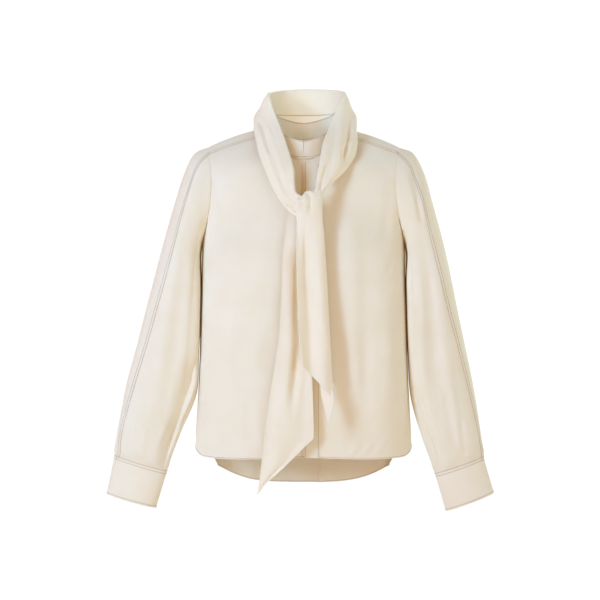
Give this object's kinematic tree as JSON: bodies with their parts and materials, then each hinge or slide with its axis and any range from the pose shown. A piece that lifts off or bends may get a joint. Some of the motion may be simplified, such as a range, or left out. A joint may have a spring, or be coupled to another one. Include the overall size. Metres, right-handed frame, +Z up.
{
  "type": "blouse",
  "caption": "Long-sleeved blouse with a stand collar, concealed placket, deep cuffs, shirt-tail hem and a scarf tied high round the neck, filled out as if worn.",
  "frame": {"origin": "middle of the neck seam, where the blouse hangs on the wearer's shoulders", "axes": "+Z up, the front faces -Y, +X is the wearer's left"},
  "size_m": [0.6955, 0.2381, 0.7733],
  "materials": {
    "blouse_crepe": "matte",
    "tie_crepe": "matte",
    "cuff_button": "satin"
  },
  "bodies": {
    "root": {"front_right": "blouse_crepe", "front_left": "blouse_crepe", "placket": "blouse_crepe", "back": "blouse_crepe", "sleeve_right_front": "blouse_crepe", "sleeve_right_back": "blouse_crepe", "sleeve_left_front": "blouse_crepe", "sleeve_left_back": "blouse_crepe", "cuff_right": "blouse_crepe", "cuff_left": "blouse_crepe", "cuff_button_right": "cuff_button", "cuff_button_left": "cuff_button", "collar_stand": "blouse_crepe", "tie_neck": "tie_crepe", "tie_knot": "tie_crepe", "tie_tail_front": "tie_crepe", "tie_tail_back": "tie_crepe"}
  },
  "joints": []
}
